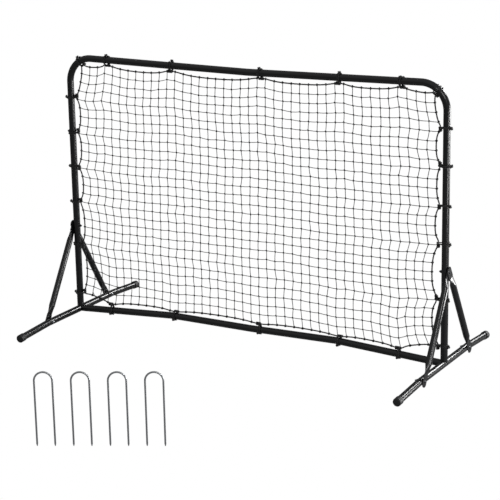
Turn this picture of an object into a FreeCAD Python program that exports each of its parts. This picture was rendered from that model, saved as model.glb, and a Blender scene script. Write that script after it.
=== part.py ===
"""Free-standing double-sided rebounder: a tubular steel frame that holds a corded net upright over two
cross feet, with four loose U-shaped ground stakes standing beside it.

Row frame: origin on the floor under the middle of the net, +X along the net, +Y away from the front,
+Z up, all in millimetres.
"""
import FreeCAD, Part

import math
import os

import Sketcher

Vector = FreeCAD.Vector
Rotation = FreeCAD.Rotation
Placement = FreeCAD.Placement

X_AXIS = Vector(1, 0, 0)
Y_AXIS = Vector(0, 1, 0)
Z_AXIS = Vector(0, 0, 1)

# alias, value, meaning
DIMENSIONS = [
    ("frame_width", 1799.0, "upright axis to upright axis"),
    ("frame_height", 1160.0, "bottom bar axis to top bar axis, at the corners"),
    ("tube_outer", 30.0, "frame tube, outer diameter"),
    ("tube_inner", 27.6, "frame tube, bore"),
    ("corner_bend", 110.0, "bend radius of the upper corners, on the axis"),
    ("upright_joint", 610.0, "bottom bar axis to the slip joint in each upright"),
    ("top_joint", 395.0, "slip joint in the top bar, from the middle"),
    ("top_drop_joint", 7.0, "how far the top bar is pulled down at that joint"),
    ("top_drop_middle", 12.0, "how far it is pulled down at the middle"),
    ("bottom_joint", 405.0, "slip joint in the bottom bar, from the middle"),
    ("bottom_rise_joint", 29.0, "how far the bottom bar is pulled up at that joint"),
    ("bottom_rise_middle", 24.5, "how far it is pulled up at the middle"),
    ("spigot_outer", 24.0, "reduced end of a tube, outer diameter"),
    ("spigot_inner", 21.6, "reduced end of a tube, bore"),
    ("spigot_length", 34.0, "reduced end of a tube, length"),
    ("neck_length", 8.0, "thickened neck behind a reduced end"),
    ("foot_reach", 474.0, "middle of a foot tube to the face of its cap"),
    ("foot_drop", 13.0, "how far a foot tube's axis drops from its level middle to the cap's face"),
    ("foot_bend", 258.0, "middle of a foot tube to the point where it turns down"),
    ("foot_bend_radius", 400.0, "bend radius there, on the axis"),
    ("stub_outer", 27.0, "stubs welded to a foot tube, outer diameter"),
    ("stub_inner", 24.6, "stubs welded to a foot tube, bore"),
    ("stub_height", 87.5, "foot tube axis to the top of the upright stub"),
    ("stub_reach", 85.0, "upright axis to the end of the sideways stub"),
    ("cap_outer", 35.0, "end cap, outer diameter"),
    ("cap_length", 30.0, "end cap, length"),
    ("cap_wall", 3.0, "end cap, thickness of the closed end"),
    ("cap_round", 5.0, "end cap, rounding of the closed end"),
    ("cap_nib_radius", 3.0, "moulding nib in the middle of the cap, radius"),
    ("cap_nib_height", 0.8, "moulding nib, height"),
    ("brace_outer", 27.0, "brace tube, outer diameter"),
    ("brace_inner", 24.6, "brace tube, bore"),
    ("apex_rise", 391.0, "bottom bar axis to the bolt where two braces meet"),
    ("brace_reach", 238.0, "upright axis to a brace's lower bolt"),
    ("tab_width", 36.0, "flattened end of a brace, width"),
    ("tab_thick", 3.0, "flattened end of a brace, thickness"),
    ("tab_reach", 24.0, "bolt to the tip of the flattened end"),
    ("tab_nose", 19.0, "radius of the rounded tip"),
    ("tab_start", 32.0, "bolt to the start of the flare"),
    ("flare_end", 72.0, "bolt to the end of the flare, where the tube is round"),
    ("tab_gap", 0.3, "between the two tabs at the apex"),
    ("bolt_diameter", 6.0, "all bolts"),
    ("bolt_hole", 6.5, "holes for them"),
    ("nut_corner", 11.5, "nut, diameter across corners"),
    ("nut_height", 5.0, "nut, height"),
    ("washer_outer", 14.0, "washer, outer diameter"),
    ("washer_thick", 1.2, "washer, thickness"),
    ("head_diameter", 12.0, "domed bolt head, diameter"),
    ("head_height", 4.0, "domed bolt head, height"),
    ("bolt_tail", 4.0, "thread that shows past the nut"),
    ("mesh_across", 40.7, "mesh size of the net along X, knot to knot"),
    ("mesh_up", 39.1, "mesh size of the net along Z, knot to knot"),
    ("twine", 3.0, "net twine, thickness"),
    ("rope_diameter", 6.0, "border rope"),
    ("net_margin", 7.0, "border rope's centre line to the edge of the net"),
    ("tie_cord", 4.4, "cord of the ties"),
    ("tie_gap", 0.4, "tie cord to tube"),
    ("tie_spread", 9.0, "distance between a tie's two turns, along the tube"),
    ("tie_knot", 12.0, "width of a tie's knot, on the side away from the net"),
    ("tie_link", 8.0, "width of a tie between tube and rope"),
    ("hitch", 11.0, "width of the hitch on the border rope"),
    ("stake_height", 290.0, "ground stake, overall height"),
    ("stake_width", 67.0, "ground stake, leg axis to leg axis"),
    ("stake_wire", 7.0, "ground stake, wire diameter"),
    ("stake_point", 8.0, "length of the pointed tip"),
    ("stake_tip", 3.0, "diameter left at the very tip"),
    ("stake_pitch", 135.5, "distance between neighbouring stakes"),
    ("stake_row_x", 96.0, "middle of the row of stakes, sideways"),
    ("stake_row_y", -1321.5, "middle of the row of stakes, in front of the net"),
    ("stake_row_angle", 26.2, "direction of the row, from +X"),
    ("allowance", 30.0, "extra length that a cut takes off again"),
    ("cutter", 200.0, "side of a cutting block"),
]

doc = FreeCAD.newDocument("rebounder")
sheet = doc.addObject("Spreadsheet::Sheet", "Dims")
for row, (alias, value, meaning) in enumerate(DIMENSIONS, start=1):
    sheet.set(f"A{row}", meaning)
    sheet.set(f"B{row}", str(value))
    sheet.setAlias(f"B{row}", alias)
doc.recompute()

dims = {alias: float(sheet.get(alias)) for alias, value, meaning in DIMENSIONS}
nodes = {}


# ---------------------------------------------------------------- helpers

def add(kind, name):
    """A new object of the document."""
    return doc.addObject(kind, name)


def bind(item, **expressions):
    """Ties properties of an object to cells of the sheet."""
    for name, expression in expressions.items():
        item.setExpression(name, expression)
    return item


def node(item, label):
    """Marks an object as a sub-part: its label names its file."""
    item.Label = label
    nodes[label] = item
    return item


def aim(start, direction, roll=0.0):
    """A placement whose local +Z looks along a direction."""
    turn = Rotation(Z_AXIS, direction).multiply(Rotation(Z_AXIS, roll))
    return Placement(start, turn)


def rod(name, radius, length, start, direction):
    """A solid cylinder from a point along a direction; radius and length are expressions."""
    item = bind(add("Part::Cylinder", name), Radius=radius, Height=length)
    item.Placement = aim(start, direction)
    return item


def fuse(name, *shapes):
    item = add("Part::MultiFuse", name)
    item.Shapes = list(shapes)
    return item


def cut(name, base, *tools):
    item = add("Part::Cut", name)
    item.Base = base
    item.Tool = tools[0] if len(tools) == 1 else fuse(name + "_tools", *tools)
    return item


def group(name, *shapes):
    """Several separate solids that share one node."""
    item = add("Part::Compound", name)
    item.Links = list(shapes)
    return item


def mirror(source, name):
    """The same piece for the other side of the frame."""
    item = add("Part::Mirroring", name)
    item.Source = source
    item.Base = Vector(0, 0, 0)
    item.Normal = X_AXIS
    return item


def block_beyond(name, point, direction):
    """A block that fills the space beyond a plane through a point, square to a direction."""
    item = bind(add("Part::Box", name), Length="Dims.cutter", Width="Dims.cutter", Height="Dims.cutter")
    place = aim(point, direction)
    middle = place.multVec(Vector(-dims["cutter"] / 2, -dims["cutter"] / 2, 0))
    item.Placement = Placement(middle, place.Rotation)
    return item


def unit(vector):
    return Vector(vector).normalize()


def body_plane(body, role):
    """The body's own origin plane with this role."""
    return [feature for feature in body.Origin.OriginFeatures if feature.Role == role][0]


def sketch_in(body, name, role):
    sketch = body.newObject("Sketcher::SketchObject", name)
    sketch.AttachmentSupport = (body_plane(body, role), "")
    sketch.MapMode = "FlatFace"
    return sketch


# ---------------------------------------------------------------- the frame's axes

HALF = dims["frame_width"] / 2

# Each foot tube is level in its middle, at the height of the bottom bar, and turns down to its caps.
# The lowest point of each cap's rounded rim is on the floor.
FOOT_SLOPE = math.atan2(dims["foot_drop"], dims["foot_reach"] - dims["foot_bend"])
FOOT_END_Z = (
    (dims["cap_outer"] / 2 - dims["cap_round"]) * math.cos(FOOT_SLOPE)
    + dims["cap_round"] * (1 - math.sin(FOOT_SLOPE))
)
BAR_Z = FOOT_END_Z + dims["foot_drop"]
TOP_Z = BAR_Z + dims["frame_height"]
APEX_Z = BAR_Z + dims["apex_rise"]
JOINT_Z = BAR_Z + dims["upright_joint"]

# The net pulls the bars inwards a little, and the slip joints let them give: each bar is four
# straight lengths from corner to corner.
BOTTOM_LINE = [
    Vector(-HALF, 0, BAR_Z),
    Vector(-dims["bottom_joint"], 0, BAR_Z + dims["bottom_rise_joint"]),
    Vector(0, 0, BAR_Z + dims["bottom_rise_middle"]),
]
TOP_LINE = [
    Vector(-HALF, 0, TOP_Z),
    Vector(-dims["top_joint"], 0, TOP_Z - dims["top_drop_joint"]),
    Vector(0, 0, TOP_Z - dims["top_drop_middle"]),
]

# The upper corners turn a little more than a right angle, from the upright to the sloping bar.
TOP_SLOPE = math.atan2(dims["top_drop_joint"], HALF - dims["top_joint"])
BEND_SETBACK = dims["corner_bend"] * math.tan((math.pi / 2 + TOP_SLOPE) / 2)


def line_height(line, x):
    """Height of a bar's axis at a distance from the middle; both halves are alike."""
    left = -abs(x)
    for a, b in zip(line, line[1:]):
        if left <= b.x:
            return a.z + (b.z - a.z) * (left - a.x) / (b.x - a.x)
    return line[-1].z


def onward(line, index):
    """The direction of the run after a point of a bar's line; the far half mirrors this one."""
    if index + 1 < len(line):
        return unit(line[index + 1] - line[index])
    before = unit(line[index] - line[index - 1])
    return Vector(before.x, 0, -before.z)


def mitre(line, index):
    """The direction square to the mitre plane at a point of a bar's line, pointing to the middle."""
    before = unit(line[index] - line[index - 1])
    return unit(before + onward(line, index))


# ---------------------------------------------------------------- cross feet

def foot_side(y_sign):
    return "front" if y_sign < 0 else "rear"


def foot_direction(y_sign):
    """The way a foot tube runs outwards beyond its bend."""
    return Vector(0, y_sign * math.cos(FOOT_SLOPE), -math.sin(FOOT_SLOPE))


def foot_end(x_sign, y_sign, back):
    """A point of a foot's axis, this far back from the closed face of its cap."""
    face = Vector(x_sign * HALF, y_sign * dims["foot_reach"], FOOT_END_Z)
    return face - foot_direction(y_sign) * back


def make_foot_spine():
    """Axis of the left foot tube from front to rear: down, level and down, joined by two bends."""
    setback = dims["foot_bend_radius"] * math.tan(FOOT_SLOPE / 2)
    points = [foot_end(-1, -1, dims["cap_wall"])]
    arcs = []
    for y_sign in (-1, 1):
        corner = Vector(-HALF, y_sign * dims["foot_bend"], BAR_Z)
        outer = corner + foot_direction(y_sign) * setback
        inner = corner - Y_AXIS * (y_sign * setback)
        sagitta = dims["foot_bend_radius"] * (1 / math.cos(FOOT_SLOPE / 2) - 1)
        middle = corner + unit(unit(outer - corner) + unit(inner - corner)) * sagitta
        first, last = (outer, inner) if y_sign < 0 else (inner, outer)
        arcs.append(Part.Arc(first, middle, last).toShape())
        points += [first, last]
    points.append(foot_end(-1, 1, dims["cap_wall"]))
    spine = add("Part::Feature", "foot_spine")
    spine.Shape = Part.Wire([
        Part.LineSegment(points[0], points[1]).toShape(),
        arcs[0],
        Part.LineSegment(points[2], points[3]).toShape(),
        arcs[1],
        Part.LineSegment(points[4], points[5]).toShape(),
    ])
    return spine


def make_foot():
    """Left cross foot: a bent tube along Y, drilled for the two braces."""
    spine = make_foot_spine()
    sweeps = []
    for name, radius in (("outside", "Dims.tube_outer / 2"), ("bore", "Dims.tube_inner / 2")):
        ring = bind(add("Part::Circle", "foot_ring_" + name), Radius=radius)
        ring.Placement = aim(foot_end(-1, -1, dims["cap_wall"]), -foot_direction(-1))
        sweep = add("Part::Sweep", "foot_" + name)
        sweep.Sections = [ring]
        sweep.Spine = (spine, ["Edge1", "Edge2", "Edge3", "Edge4", "Edge5"])
        sweep.Solid = True
        sweep.Frenet = False
        sweeps.append(sweep)
    holes = []
    for sign in (-1, 1):
        at = Vector(-HALF - dims["tube_outer"], sign * dims["brace_reach"], BAR_Z)
        holes.append(rod("foot_hole", "Dims.bolt_hole / 2", "2 * Dims.tube_outer", at, X_AXIS))
    return cut("foot_tube", sweeps[0], sweeps[1], *holes)


def make_stubs():
    """The stubs are short tubes: one stands up inside the upright, one reaches into the bottom bar."""
    stubs = []
    bar = unit(BOTTOM_LINE[1] - BOTTOM_LINE[0])
    for name, direction, end in (
        ("up", Z_AXIS, "Dims.stub_height"),
        ("side", bar, "Dims.stub_reach"),
    ):
        start = Vector(-HALF, 0, BAR_Z)
        outer = rod(f"stub_{name}_outer", "Dims.stub_outer / 2", end, start, direction)
        inner = rod(f"stub_{name}_inner", "Dims.stub_inner / 2", end, start, direction)
        tools = [inner, foot_solid(f"stub_{name}_foot")]
        if name == "side":
            tools.append(upright_solid("stub_side_upright"))
        stubs.append(cut(f"stub_{name}", outer, *tools))
    return group("foot_stubs", *stubs)


def foot_solid(name):
    """The level middle of a foot tube's outside, to cope another tube to it."""
    start = Vector(-HALF, -dims["cutter"] / 2, BAR_Z)
    return rod(name, "Dims.tube_outer / 2", "Dims.cutter", start, Y_AXIS)


def upright_solid(name):
    """The lower end of an upright's outside, to cope another tube to it."""
    return rod(name, "Dims.tube_outer / 2", "Dims.cutter", Vector(-HALF, 0, 0), Z_AXIS)


def make_cap(name):
    """End cap: a turned cup with a rounded closed end and a small nib in its middle."""
    body = add("PartDesign::Body", name)
    sketch = sketch_in(body, name + "_profile", "XZ_Plane")
    bore = dims["tube_outer"] / 2 + 0.05
    radius = dims["cap_outer"] / 2
    length = dims["cap_length"]
    wall = dims["cap_wall"]
    rounding = dims["cap_round"]
    nib_radius = dims["cap_nib_radius"]
    nib_height = dims["cap_nib_height"]
    points = [
        (0, -length + wall),
        (bore, -length + wall),
        (bore, 0),
        (radius, 0),
        (radius, -length + rounding),
        (radius - rounding, -length),
        (nib_radius, -length),
        (nib_radius, -length - nib_height),
        (0, -length - nib_height),
    ]
    corners = [Vector(x, y, 0) for x, y in points]
    for index, (a, b) in enumerate(zip(corners, corners[1:] + corners[:1])):
        if index == 4:
            centre = Vector(radius - rounding, -length + rounding, 0)
            circle = Part.Circle(centre, Z_AXIS, rounding)
            sketch.addGeometry(Part.ArcOfCircle(circle, -math.pi / 2, 0), False)
        else:
            sketch.addGeometry(Part.LineSegment(a, b), False)
    count = len(corners)
    for index in range(count):
        following = (index + 1) % count
        end = 1 if index == 4 else 2
        start = 2 if following == 4 else 1
        kind = "Tangent" if 4 in (index, following) else "Coincident"
        sketch.addConstraint(Sketcher.Constraint(kind, index, end, following, start))
    for index in (0, 2, 5, 7):
        sketch.addConstraint(Sketcher.Constraint("Horizontal", index))
    for index in (1, 3, 6, 8):
        sketch.addConstraint(Sketcher.Constraint("Vertical", index))
    sketch.addConstraint(Sketcher.Constraint("PointOnObject", 0, 1, -2))
    sketch.addConstraint(Sketcher.Constraint("PointOnObject", 2, 1, -1))
    depth = Sketcher.Constraint("DistanceY", 0, 2, 1, 2, length - wall)
    named = [
        ("bore", Sketcher.Constraint("DistanceX", -1, 1, 1, 1, bore), "Dims.tube_outer / 2 + 0.05"),
        ("outside", Sketcher.Constraint("DistanceX", -1, 1, 3, 1, radius), "Dims.cap_outer / 2"),
        ("depth", depth, "Dims.cap_length - Dims.cap_wall"),
        ("rounding", Sketcher.Constraint("Radius", 4, rounding), "Dims.cap_round"),
        ("closed_end", Sketcher.Constraint("DistanceY", 5, 1, 0, 1, wall), "Dims.cap_wall"),
        ("nib_radius", Sketcher.Constraint("DistanceX", -1, 1, 6, 1, nib_radius), "Dims.cap_nib_radius"),
        ("nib_height", Sketcher.Constraint("DistanceY", 6, 2, 6, 1, nib_height), "Dims.cap_nib_height"),
    ]
    for label, constraint, expression in named:
        number = sketch.addConstraint(constraint)
        sketch.renameConstraint(number, label)
        sketch.setExpression(f"Constraints.{label}", expression)
    turned = body.newObject("PartDesign::Revolution", name + "_turned")
    turned.Profile = sketch
    turned.ReferenceAxis = (sketch, ["V_Axis"])
    turned.Angle = 360
    body.Tip = turned
    return body


def place_cap(body, x_sign, y_sign):
    """The cup's mouth faces the middle of the foot; its closed end is at the foot's very end."""
    mouth = foot_end(x_sign, y_sign, dims["cap_length"])
    body.Placement = Placement(mouth, Rotation(Vector(0, 0, -1), foot_direction(y_sign)))
    return body


left_foot = node(make_foot(), "left_foot_tube")
node(mirror(left_foot, "right_foot"), "right_foot_tube")
left_stubs = node(make_stubs(), "left_foot_stubs")
node(mirror(left_stubs, "right_stubs"), "right_foot_stubs")
for x_sign, x_name in ((-1, "left"), (1, "right")):
    for y_sign in (-1, 1):
        label = f"{x_name}_{foot_side(y_sign)}_cap"
        node(place_cap(make_cap(label), x_sign, y_sign), label)


# ---------------------------------------------------------------- bars and uprights

def make_rail(name, line, index, length, coped=False, spigot=False):
    """One straight length of a bar, from point index of its line to the next one.

    length is the expression of the distance between those points. The ends are mitred. A coped end
    is cut to fit the upright and the foot, and a spigot is the reduced end that enters the next tube
    and points along it.
    """
    start, end = line[index], line[index + 1]
    along = unit(end - start)
    spare = dims["allowance"]
    back = start - along * (0 if coped else spare)
    extra = "Dims.allowance" if coped else "2 * Dims.allowance"
    solid = rod(name + "_solid", "Dims.tube_outer / 2", f"{length} + {extra}", back, along)
    trims = [block_beyond(name + "_end", end, mitre(line, index + 1))]
    if coped:
        trims += [foot_solid(name + "_foot"), upright_solid(name + "_upright")]
    else:
        trims.append(block_beyond(name + "_start", start, -mitre(line, index)))
    outside = cut(name + "_outside", solid, *trims)
    bores = []
    if spigot:
        ahead = onward(line, index + 1)
        nose = end - ahead * dims["neck_length"]
        reach = "Dims.neck_length + Dims.spigot_length"
        outside = fuse(
            name + "_stepped", outside,
            rod(name + "_spigot", "Dims.spigot_outer / 2", reach, nose, ahead),
        )
        bores.append(rod(name + "_nose", "Dims.spigot_inner / 2", f"{reach} + 3", nose - ahead * 2, ahead))
        bore_length = f"{length} + {extra} - Dims.allowance - Dims.neck_length"
    else:
        bore_length = f"{length} + {extra}"
    bores.append(rod(name + "_bore", "Dims.tube_inner / 2", bore_length, back, along))
    return cut(name, outside, *bores)


def run_length(reach, rise):
    return f"sqrt(({reach})^2 + ({rise})^2)"


outer_run = run_length("Dims.frame_width / 2 - Dims.bottom_joint", "Dims.bottom_rise_joint")
inner_run = run_length("Dims.bottom_joint", "Dims.bottom_rise_joint - Dims.bottom_rise_middle")
bottom_outer = make_rail("bottom_outer", BOTTOM_LINE, 0, outer_run, coped=True, spigot=True)
bottom_inner = make_rail("bottom_inner", BOTTOM_LINE, 1, inner_run, spigot=True)
bottom_plain = make_rail("bottom_plain", BOTTOM_LINE, 1, inner_run)
node(bottom_outer, "bottom_bar_left_outer")
node(bottom_inner, "bottom_bar_left_inner")
node(mirror(bottom_plain, "bottom_inner_right"), "bottom_bar_right_inner")
node(mirror(bottom_outer, "bottom_outer_right"), "bottom_bar_right_outer")

top_run = run_length("Dims.top_joint", "Dims.top_drop_middle - Dims.top_drop_joint")
top_inner = make_rail("top_inner", TOP_LINE, 1, top_run, spigot=True)
top_plain = make_rail("top_plain", TOP_LINE, 1, top_run)
node(top_inner, "top_bar_left")
node(mirror(top_plain, "top_inner_right"), "top_bar_right")


def make_lower_upright():
    """Straight tube from the foot to the slip joint, with a reduced end that enters the corner tube."""
    start = Vector(-HALF, 0, BAR_Z)
    run = "Dims.upright_joint"
    solid = rod("upright_solid", "Dims.tube_outer / 2", run, start, Z_AXIS)
    nose = Vector(-HALF, 0, JOINT_Z - dims["neck_length"])
    reach = "Dims.neck_length + Dims.spigot_length"
    outside = fuse(
        "upright_stepped", solid,
        rod("upright_spigot", "Dims.spigot_outer / 2", reach, nose, Z_AXIS),
    )
    hole_at = Vector(-HALF - dims["tube_outer"], 0, APEX_Z)
    return cut(
        "upright", outside,
        foot_solid("upright_foot"),
        rod("upright_bore", "Dims.tube_inner / 2", f"{run} - Dims.neck_length", start, Z_AXIS),
        rod("upright_nose", "Dims.spigot_inner / 2", f"{reach} + 1", nose, Z_AXIS),
        rod("upright_hole", "Dims.bolt_hole / 2", "2 * Dims.tube_outer", hole_at, X_AXIS),
    )


def make_corner_spine():
    """Centre line of the left corner tube: up from the slip joint, round the bend and along the bar."""
    bend = dims["corner_bend"]
    along = unit(TOP_LINE[1] - TOP_LINE[0])
    corner = TOP_LINE[0]
    foot = Vector(-HALF, 0, JOINT_Z)
    bend_start = corner - Z_AXIS * BEND_SETBACK
    bend_end = corner + along * BEND_SETBACK
    centre = bend_start + X_AXIS * bend
    bend_middle = centre + unit(unit(bend_start - centre) + unit(bend_end - centre)) * bend
    beyond = TOP_LINE[1] + along * dims["allowance"]
    edges = [
        Part.LineSegment(foot, bend_start).toShape(),
        Part.Arc(bend_start, bend_middle, bend_end).toShape(),
        Part.LineSegment(bend_end, beyond).toShape(),
    ]
    spine = add("Part::Feature", "corner_spine")
    spine.Shape = Part.Wire(edges)
    return spine


def make_corner_tube():
    """Bent tube: upper part of the upright, the corner, and the outer end of the top bar."""
    spine = make_corner_spine()
    sweeps = []
    for name, radius in (("outside", "Dims.tube_outer / 2"), ("bore", "Dims.tube_inner / 2")):
        ring = bind(add("Part::Circle", "corner_ring_" + name), Radius=radius)
        ring.Placement = Placement(Vector(-HALF, 0, JOINT_Z), Rotation())
        sweep = add("Part::Sweep", "corner_" + name)
        sweep.Sections = [ring]
        sweep.Spine = (spine, ["Edge1", "Edge2", "Edge3"])
        sweep.Solid = True
        sweep.Frenet = False
        sweeps.append(sweep)
    along = unit(TOP_LINE[1] - TOP_LINE[0])
    ahead = onward(TOP_LINE, 1)
    neck = TOP_LINE[1] - along * dims["neck_length"]
    nose = TOP_LINE[1] - ahead * dims["neck_length"]
    reach = "Dims.neck_length + Dims.spigot_length"
    outside = cut("corner_trimmed", sweeps[0], block_beyond("corner_end", TOP_LINE[1], mitre(TOP_LINE, 1)))
    bore = cut("corner_bore_end", sweeps[1], block_beyond("corner_neck", neck, along))
    spigot = rod("corner_spigot", "Dims.spigot_outer / 2", reach, nose, ahead)
    stepped = fuse("corner_stepped", outside, spigot)
    nose_bore = rod("corner_nose", "Dims.spigot_inner / 2", f"{reach} + 3", nose - ahead * 2, ahead)
    return cut("corner_tube", stepped, bore, nose_bore)


left_upright = node(make_lower_upright(), "left_upright")
node(mirror(left_upright, "right_upright_mirrored"), "right_upright")
left_corner = node(make_corner_tube(), "left_corner_tube")
node(mirror(left_corner, "right_corner_mirrored"), "right_corner_tube")


# ---------------------------------------------------------------- braces and their bolts

BRACE_ANGLE = math.degrees(math.atan2(dims["brace_reach"], dims["apex_rise"]))
BRACE_LENGTH = math.hypot(dims["brace_reach"], dims["apex_rise"])
BRACE_RUN = run_length("Dims.brace_reach", "Dims.apex_rise")


def make_tab(name, z, sign):
    """Flattened end of a brace: a strip with a rounded tip; sign is the way the tip points."""
    strip = bind(
        add("Part::Box", name + "_strip"),
        Length="Dims.tab_thick", Width="Dims.tab_width", Height="Dims.tab_start + Dims.tab_reach",
    )
    low = -dims["tab_reach"] if sign < 0 else -dims["tab_start"]
    strip.Placement = Placement(Vector(-dims["tab_thick"] / 2, -dims["tab_width"] / 2, z + low), Rotation())
    centre = z - sign * (dims["tab_nose"] - dims["tab_reach"])
    nose = rod(
        name + "_nose", "Dims.tab_nose", "Dims.tab_thick",
        Vector(-dims["tab_thick"] / 2, 0, centre), X_AXIS,
    )
    back = bind(
        add("Part::Box", name + "_back"),
        Length="Dims.tab_thick", Width="Dims.tab_width", Height="Dims.tab_start",
    )
    back_z = z if sign < 0 else z - dims["tab_start"]
    back.Placement = Placement(Vector(-dims["tab_thick"] / 2, -dims["tab_width"] / 2, back_z), Rotation())
    tip = add("Part::Common", name + "_tip")
    tip.Base = strip
    tip.Tool = nose
    return fuse(name, tip, back)


def make_flare(name, z_flat, z_round, thick, width, radius):
    """The tube's change from a flat oval to a circle."""
    oval = bind(add("Part::Ellipse", name + "_oval"), MajorRadius=width, MinorRadius=thick)
    oval.Placement = Placement(Vector(0, 0, z_flat), Rotation(Z_AXIS, 90))
    circle = bind(add("Part::Circle", name + "_circle"), Radius=radius)
    circle.Placement = Placement(Vector(0, 0, z_round), Rotation(Z_AXIS, 90))
    loft = add("Part::Loft", name)
    loft.Sections = [oval, circle]
    loft.Solid = True
    loft.Ruled = True
    return loft


def make_brace(name):
    """A tube with both ends pressed flat and drilled, made upright with its lower bolt at the origin."""
    top = BRACE_LENGTH
    start = dims["tab_start"]
    flare = dims["flare_end"]
    straight = f"{BRACE_RUN} - 2 * Dims.flare_end"
    from_round = Vector(0, 0, flare)
    outside = fuse(
        name + "_outside",
        rod(name + "_tube", "Dims.brace_outer / 2", straight, from_round, Z_AXIS),
        make_flare(name + "_low", start, flare,
                   "Dims.tab_thick / 2", "Dims.tab_width / 2", "Dims.brace_outer / 2"),
        make_flare(name + "_high", top - start, top - flare,
                   "Dims.tab_thick / 2", "Dims.tab_width / 2", "Dims.brace_outer / 2"),
        make_tab(name + "_low_tab", 0, -1),
        make_tab(name + "_high_tab", top, 1),
    )
    inside = fuse(
        name + "_inside",
        rod(name + "_bore", "Dims.brace_inner / 2", straight, from_round, Z_AXIS),
        make_flare(name + "_low_bore", start + 2, flare,
                   "0.3", "Dims.tab_width / 2 - 2", "Dims.brace_inner / 2"),
        make_flare(name + "_high_bore", top - start - 2, top - flare,
                   "0.3", "Dims.tab_width / 2 - 2", "Dims.brace_inner / 2"),
    )
    holes = []
    for z in (0, top):
        beside = Vector(-dims["cap_outer"] / 2, 0, z)
        holes.append(rod(name + "_hole", "Dims.bolt_hole / 2", "Dims.cap_outer", beside, X_AXIS))
    return cut(name, outside, inside, *holes)


# The lower tabs lie on the outer face of the foot. At the apex the front brace's tab lies on the
# upright and the rear brace's tab lies on that one, so a rear brace leans outwards by one tab.
TAB_X = -HALF - dims["tube_outer"] / 2 - dims["tab_thick"] / 2
LEAN = math.degrees(math.asin((dims["tab_thick"] + dims["tab_gap"]) / BRACE_LENGTH))


def place_brace(brace, y_sign):
    lean = LEAN if y_sign > 0 else 0.0
    turn = Rotation(X_AXIS, y_sign * BRACE_ANGLE).multiply(Rotation(Y_AXIS, -lean))
    brace.Placement = Placement(Vector(TAB_X, y_sign * dims["brace_reach"], BAR_Z), turn)
    return brace


for y_sign in (-1, 1):
    side = foot_side(y_sign)
    brace = node(place_brace(make_brace(f"{side}_brace"), y_sign), f"left_{side}_brace")
    node(mirror(brace, f"{side}_brace_mirrored"), f"right_{side}_brace")


def make_bolt(name, y, z, tabs):
    """Domed bolt along X: its head on the outer tab, its thread past the nut inside the frame."""
    gaps = tabs - 1
    stack = tabs * dims["tab_thick"] + gaps * dims["tab_gap"]
    outer_x = -HALF - dims["tube_outer"] / 2 - stack
    span = (
        f"Dims.tube_outer + {tabs} * Dims.tab_thick + {gaps} * Dims.tab_gap"
        " + Dims.washer_thick + Dims.nut_height + Dims.bolt_tail"
    )
    shank = rod(name + "_shank", "Dims.bolt_diameter / 2", span, Vector(outer_x, y, z), X_AXIS)
    ball_radius = (dims["head_height"] ** 2 + (dims["head_diameter"] / 2) ** 2) / (2 * dims["head_height"])
    ball = bind(
        add("Part::Sphere", name + "_ball"),
        Radius="(Dims.head_height^2 + (Dims.head_diameter / 2)^2) / (2 * Dims.head_height)",
    )
    ball.Placement = aim(Vector(outer_x + ball_radius - dims["head_height"], y, z), X_AXIS)
    slab = rod(
        name + "_slab", "Dims.head_diameter / 2", "Dims.head_height",
        Vector(outer_x - dims["head_height"], y, z), X_AXIS,
    )
    dome = add("Part::Common", name + "_dome")
    dome.Base = slab
    dome.Tool = ball
    return fuse(name, dome, shank)


def make_nut(name, y, z):
    """Hexagon nut on a washer, against the inner side of the tube."""
    face = Vector(-HALF + dims["tube_outer"] / 2, y, z)
    hexagon = bind(
        add("Part::Prism", name + "_hexagon"),
        Circumradius="Dims.nut_corner / 2", Height="Dims.nut_height",
    )
    hexagon.Polygon = 6
    hexagon.Placement = aim(face + X_AXIS * dims["washer_thick"], X_AXIS, 30.0)
    washer = rod(name + "_washer", "Dims.washer_outer / 2", "Dims.washer_thick", face, X_AXIS)
    thread = rod(name + "_thread", "Dims.bolt_diameter / 2 + 0.05", "Dims.cap_outer", face - X_AXIS, X_AXIS)
    both = fuse(name + "_both", hexagon, washer)
    return cut(name, both, thread)


for place, y, z, tabs in (
    ("apex", 0, APEX_Z, 2),
    ("front_foot", -dims["brace_reach"], BAR_Z, 1),
    ("rear_foot", dims["brace_reach"], BAR_Z, 1),
):
    bolt = node(make_bolt(f"{place}_bolt", y, z, tabs), f"left_{place}_bolt")
    node(mirror(bolt, f"{place}_bolt_mirrored"), f"right_{place}_bolt")
    nut = node(make_nut(f"{place}_nut", y, z), f"left_{place}_nut")
    node(mirror(nut, f"{place}_nut_mirrored"), f"right_{place}_nut")


# ---------------------------------------------------------------- border rope, ties and net

# Where each tie holds the rope: its place along the tube, and the rope's distance from the tube's
# axis. Top and bottom ties are at x, side ties are at heights above the bottom bar.
TOP_TIES = [(-703, 22), (-372, 24), (60, 22), (428, 24), (702, 24)]
RIGHT_TIES = [(982, 28), (828, 28), (665, 29), (508, 31), (273, 37), (75, 28)]
BOTTOM_TIES = [(698, 26), (420, 22), (40, 27), (-390, 21), (-725, 29)]
LEFT_TIES = [(77, 26), (305, 29), (505, 27), (667, 27), (825, 31), (982, 31)]
# The ties in the two bends: their angle round the bend from level, and the same distance.
LEFT_BEND_TIE = (61, 20)
RIGHT_BEND_TIE = (51, 20)
# How far the rope bows inwards between one tie and the next, clockwise from the top left bend.
BOWS = [11, 18, 19, 15, 14, 7, 8, 18, 13, 17, 25, 24, 9, 10, 10, 12, 13, 3, 19, 16, 19, 15, 16, 7]
BOW_SHARES = (0.2, 0.5, 0.8)


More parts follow.
